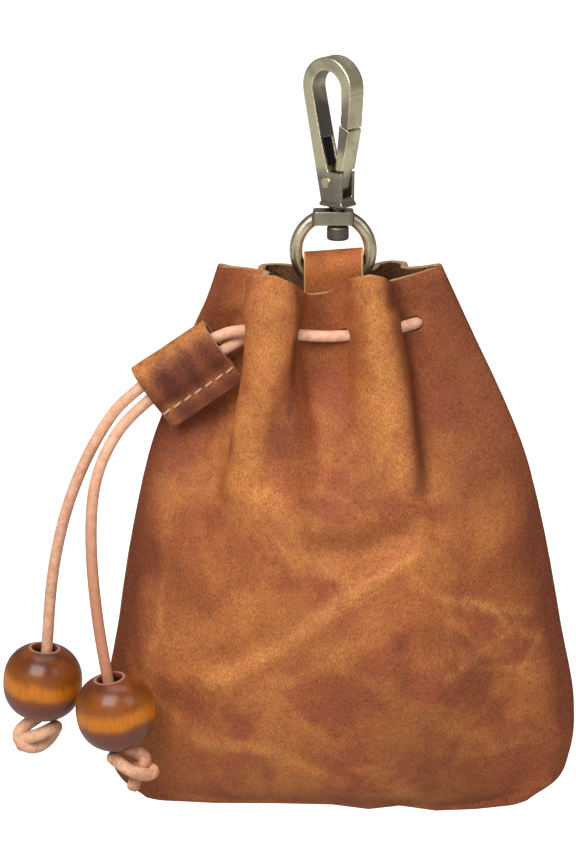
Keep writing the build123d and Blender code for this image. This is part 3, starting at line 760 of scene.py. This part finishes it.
def tube_mesh(name, path, radius, material, around=20, round_end=True):
    """A round tube along a path of points in metres, with closed, slightly rounded ends."""
    path = [Vector(p) for p in path]
    verts, faces = [], []
    tangent = (path[1] - path[0]).normalized()
    side = tangent.orthogonal().normalized()
    shrink = [0.55, 0.9] + [1.0] * (len(path) - 4) + [0.9, 0.55] if round_end else [1.0] * len(path)
    for i, place in enumerate(path):
        ahead = (path[min(i + 1, len(path) - 1)] - path[max(i - 1, 0)]).normalized()
        side = (side - ahead * side.dot(ahead)).normalized()
        other = ahead.cross(side)
        for k in range(around):
            turn = 2 * math.pi * k / around
            verts.append(place + radius * shrink[i] * (side * math.cos(turn) + other * math.sin(turn)))
    for i in range(len(path) - 1):
        for k in range(around):
            a, b = i * around + k, i * around + (k + 1) % around
            faces.append((a, b, b + around, a + around))
    faces.append(tuple(range(around))[::-1])
    faces.append(tuple((len(path) - 1) * around + k for k in range(around)))
    return add_mesh(name, verts, faces, [material])


front = leather_side("bag_front", FRONT_FOLDS, -1, FRONT_PULLS_AND_HIGHLIGHTS, FRONT_SHADES, FRONT_FOLDED, 3)
back = leather_side("bag_back", BACK_FOLDS, 1, BACK_PULLS_AND_HIGHLIGHTS, BACK_SHADES, [], 40)
loop_path = spline_points(LOOP)
cutter = tube_mesh("hole_cutter", loop_path, HOLE_R * MM, EDGE, 24, False)
for panel, node in ((front, "front_panel"), (back, "back_panel")):
    holes = panel.modifiers.new("holes", "BOOLEAN")
    holes.object = cutter
    holes.solver = "EXACT"
    applied(panel)
    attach(panel, "bag")
    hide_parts(node)
bpy.data.objects.remove(cutter)

# ---------------------------------------------------------------- cords
loop = tube_mesh("drawcord_loop", loop_path, CORD_D / 2 * MM, CORD)
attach(loop, "bag")
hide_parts("drawcord")


# ---------------------------------------------------------------- knots and beads
def knot(name, route, body, node):
    path = spline_points(route, 8)
    obj = tube_mesh(name, path, KNOT_D / 2 * MM, CORD, 20)
    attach(obj, body)
    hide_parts(node)
    return obj


def bead(name, centre, top, material, body, node):
    """A turned bead, a little squashed, with a bore and narrow rims rubbed pale."""
    profile = [(BEAD_BORE_R, RIM_HEIGHT * (1 - 2 * i / 9) * 0.96) for i in range(9, 0, -1)]
    profile += [(BEAD_BORE_R + 0.05, RIM_HEIGHT - 0.15), (BEAD_BORE_R + 0.25, RIM_HEIGHT + 0.02),
                (BEAD_BORE_R + 0.75, RIM_HEIGHT - 0.06)]
    for i in range(44):
        turn = math.radians(68 - 136 * i / 43)
        reach = (abs(math.cos(turn)) ** 2.3 + abs(math.sin(turn)) ** 2.3) ** (-1 / 2.3)
        r, z = BEAD_R * reach * math.cos(turn), BEAD_HALF_TALL * reach * math.sin(turn)
        if abs(z) < RIM_HEIGHT - 0.12:
            profile.append((r, z))
    profile += [(BEAD_BORE_R + 0.75, 0.06 - RIM_HEIGHT), (BEAD_BORE_R + 0.25, -RIM_HEIGHT - 0.02),
                (BEAD_BORE_R + 0.05, 0.15 - RIM_HEIGHT)]
    around = 96
    verts = [(r * MM * math.cos(2 * math.pi * k / around), r * MM * math.sin(2 * math.pi * k / around), z * MM)
             for r, z in profile for k in range(around)]
    count = len(profile)
    faces = []
    for i in range(count):
        for k in range(around):
            j, m = (i + 1) % count, (k + 1) % around
            faces.append((i * around + k, j * around + k, j * around + m, i * around + m))
    obj = add_mesh(name, verts, faces, [material])
    # Marks the bore, where the wood is painted dark as shade inside the hole.
    paint(obj, "bore", [1.0 if r < BEAD_BORE_R + 0.02 else 0.0 for r, _ in profile for _ in range(around)])
    axis = (Vector(top) - Vector(centre)).normalized()
    turn = axis.to_track_quat("Z", "Y").to_matrix().to_4x4()
    obj.matrix_world = Matrix.Translation(Vector(centre) * MM) @ turn
    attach(obj, body)
    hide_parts(node)
    return obj


WOOD_LEFT = bead_wood("bead_wood_left", 0.4)
WOOD_RIGHT = bead_wood("bead_wood_right", 2.1)
bead_left = bead("wood_bead_left", (-72.8, -3.4, -151.2), (-72.2, -4.9, -141.3), WOOD_LEFT,
                 "bead_left", "bead_left")
bead_right = bead("wood_bead_right", (-54.3, -18.7, -155.0), (-55.9, -20.3, -145.3), WOOD_RIGHT,
                  "bead_right", "bead_right")
knot_left = knot("end_knot_left", KNOT_LEFT, "tail_left", "knot_left")
knot_right = knot("end_knot_right", KNOT_RIGHT, "tail_right", "knot_right")


def tail(name, route, node, join):
    """A hanging tail of the drawcord, from inside the sleeve down to its knot."""
    path = spline_points(route)
    obj = tube_mesh(name, path, CORD_D / 2 * MM, CORD)
    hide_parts(node)
    tuple(c * MM for c in join[0])
    tuple(c * MM for c in join[1])
    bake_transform(obj)
    return obj


tail("cord_tail_left", TAIL_LEFT, "tail_cord_left",
     ((-47.0, -8.6, -73.4), (-56.0, -8.6, -82.2)))
tail("cord_tail_right", TAIL_RIGHT, "tail_cord_right",
     ((-44.6, -8.6, -76.4), (-53.0, -9.3, -84.2)))


# ---------------------------------------------------------------- strips: the tab and the sleeve
def strip(name, line, across, length, steps, materials, thickness, ripple_mm, seed):
    """A leather strip whose section follows a line, given as points with even steps."""
    line = even_curve(line, steps)
    count = 40
    verts = []
    for i, (p, q) in enumerate(line):
        for k in range(count):
            verts.append(across(p, q, length * (k / (count - 1) - 0.5), i / (steps - 1)))
    verts = np.array(verts, float).reshape(steps, count, 3)
    normal = grid_normals(verts)
    u, v = np.meshgrid(np.arange(count) * length / count, np.arange(steps) * 0.5)
    verts = verts + normal * (ripple_mm * ripple(u, v, seed, 12, 2.6))[:, :, None]
    faces = [(r * count + c, r * count + c + 1, (r + 1) * count + c + 1, (r + 1) * count + c)
             for r in range(steps - 1) for c in range(count - 1)]
    obj = add_mesh(name, (verts * MM).reshape(-1, 3), faces, materials)
    wall = obj.modifiers.new("wall", "SOLIDIFY")
    wall.thickness = thickness * MM
    wall.offset = 0
    wall.material_offset = 1
    wall.material_offset_rim = 2
    applied(obj)
    round_off = obj.modifiers.new("round", "BEVEL")
    round_off.width = 0.25 * MM
    round_off.segments = 2
    round_off.angle_limit = math.radians(50)
    return applied(obj)


TAB_TOP_Z = -41.0
TAB_GAP = 2.6
TAB_WIDE = 14.8


def tab():
    """The hanging tab, folded over inside the ring, a little higher on its right."""
    mid = TAB_GAP + LEATHER / 2
    crown = TAB_TOP_Z - LEATHER / 2 - mid
    line = [(-0.95, -68.0), (-0.95, -62.0), (-0.98, -58.5), (-2.2, -56.0), (-mid, -52.5), (-mid, -48.5)]
    line += [(-mid * math.cos(math.radians(a)), crown + mid * math.sin(math.radians(a)))
             for a in range(0, 181, 22)]
    line += [(mid, -48.5), (mid, -52.5), (2.2, -56.0), (0.98, -58.5), (0.95, -62.0), (0.95, -68.0)]

    def across(y, z, x, part):
        near_top = max(0.0, 1 - abs(part - 0.5) * 3.2)
        return (x + 0.1, y, z + near_top * 0.075 * x)

    obj = strip("hanging_tab", line, across, TAB_WIDE, 130, [STRAP, INSIDE, EDGE], 1.7, 0.12, 21)
    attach(obj, "bag")
    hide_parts("tab_strap")
    return obj


def sleeve_place():
    tilt = Matrix.Rotation(math.radians(-SLEEVE_TILT), 4, "Y")
    return Matrix.Translation(Vector(SLEEVE_C)) @ tilt


def sleeve():
    """The sliding cord lock: a strip folded over the cords, its long edges sewn together."""
    place = sleeve_place()
    half = SLEEVE_WIDE / 2
    bore = 2.3 + LEATHER / 2
    line = [(-0.92, -half), (-0.92, -half + 2.4), (-0.98, -half + 4.4), (-1.9, -half + 6.4),
            (-bore, -half + 9.0), (-bore - 0.1, half - 5.0)]
    line += [(-bore * math.cos(math.radians(a)), half - 3.0 + 2.2 * math.sin(math.radians(a)))
             for a in range(0, 181, 20)]
    line += [(bore + 0.1, half - 5.0), (bore, -half + 9.0), (1.9, -half + 6.4), (0.98, -half + 4.4),
             (0.92, -half + 2.4), (0.92, -half)]

    def across(y, z, x, part):
        return tuple(place @ Vector((x, y, z)))

    obj = strip("cord_lock_sleeve", line, across, SLEEVE_LONG, 120, [SLEEVE, INSIDE, EDGE], 1.7, 0.10, 33)
    spots = np.array([tuple(v.co) for v in obj.data.vertices])
    local = (spots / MM - np.array(SLEEVE_C))
    tilt = math.radians(SLEEVE_TILT)
    along = local[:, 0] * math.cos(tilt) + local[:, 2] * math.sin(tilt)
    up = -local[:, 0] * math.sin(tilt) + local[:, 2] * math.cos(tilt)
    top = np.clip((up - 3.5) / 5.0, 0, 1)
    seam = np.exp(-((up + 4.6) / 1.3) ** 2)
    tip = np.exp(-((along + 9.5) / 2.0) ** 2)
    # Paler along the top fold, the seam and the tip: pulled-up leather, with painted highlight on the top
    # where the light falls; painted shade in a band below the top.
    paint(obj, "pull_and_highlight", np.clip(0.65 * top + 0.45 * seam + 0.25 * tip, 0, 1))
    paint(obj, "shade", np.clip(0.25 + 0.2 * np.sin(along), 0, 1) * (1 - top))
    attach(obj, "sleeve")
    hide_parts("cord_sleeve")
    return obj


def stitch_row(name, places, body, node):
    """Short sewn stitches, each a little thread that dips in at both ends."""
    made = []
    for i, (start, end, out) in enumerate(places):
        start, end, out = Vector(start), Vector(end), Vector(out)
        path = []
        for k in range(9):
            part = k / 8
            rise = math.sin(math.pi * part) ** 0.6
            path.append(tuple((start.lerp(end, part) + out * (0.62 * rise - 0.35)) * MM))
        made.append(tube_mesh(f"{name}_{i}", path, 0.33 * MM, STITCH, 10))
    bpy.ops.object.select_all(action="DESELECT")
    for obj in made:
        obj.select_set(True)
    bpy.context.view_layer.objects.active = made[0]
    bpy.ops.object.join()
    made[0].name = name
    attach(made[0], body)
    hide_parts(node)
    return made[0]


def sleeve_seam():
    place = sleeve_place()
    turn = place.to_3x3()
    rows = []
    for i in range(7):
        x = -9.4 + 3.15 * i
        rows.append((place @ Vector((x - 1.25, -1.8, -4.9)), place @ Vector((x + 1.25, -1.8, -4.6)),
                     turn @ Vector((0, -1, 0))))
    return stitch_row("sleeve_stitching", rows, "sleeve", "sleeve_stitches")


tab()
sleeve()
sleeve_seam()


# ---------------------------------------------------------------- cast metal
def cast(name, nodes, body, material, voxel, rounds):
    """A copy of CAD pieces with the softened edges of a cast and tumbled fitting."""
    sources = [frame["nodes"][n] for n in nodes]
    obj = bpy.data.objects.new(name, sources[0].data.copy())
    bpy.context.collection.objects.link(obj)
    obj.data.materials.clear()
    obj.data.materials.append(material)
    remesh = obj.modifiers.new("cast", "REMESH")
    remesh.mode = "VOXEL"
    remesh.voxel_size = voxel * MM
    remesh.use_smooth_shade = True
    soften = obj.modifiers.new("soften", "SMOOTH")
    soften.factor = 0.5
    soften.iterations = rounds
    applied(obj)
    spots = np.array([tuple(obj.matrix_world @ v.co) for v in obj.data.vertices]) / MM
    facing = np.array([tuple(v.normal) for v in obj.data.vertices])
    inward = np.stack([-spots[:, 0], np.clip(spots[:, 2], -14, -5) - spots[:, 2]], axis=1)
    inward /= np.maximum(np.linalg.norm(inward, axis=1, keepdims=True), 1e-6)
    inside = np.sum(facing[:, [0, 2]] * inward, axis=1) * (spots[:, 2] > -22)
    base = np.clip((-19.5 - spots[:, 2]) / 3.0, 0, 1) * np.clip((spots[:, 2] + 36.0) / 2.0, 0, 1)
    paint(obj, "patina", np.clip(np.maximum(np.clip((inside - 0.3) * 2.5, 0, 1), 0.85 * base), 0, 1))
    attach(obj, body)
    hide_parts(*nodes)
    return obj


cast("snap_hook", ["hook_frame"], "hook", BRASS, 0.16, 26)
cast("snap_gate", ["hook_gate"], "gate", BRASS, 0.14, 20)
cast("ring", ["swivel_ring"], "ring", BRASS, 0.16, 12)
cast("pin", ["swivel_pin"], "hook", DARK_BRASS, 0.14, 8)

for node, material in (("gate_rivet", BRASS), ("gate_spring", SPRING), ("side_thread_left", STITCH),
                       ("side_thread_right", STITCH), ("bottom_thread", STITCH), ("tab_stitches", STITCH)):
    for slot in frame["nodes"][node].material_slots:
        slot.material = material
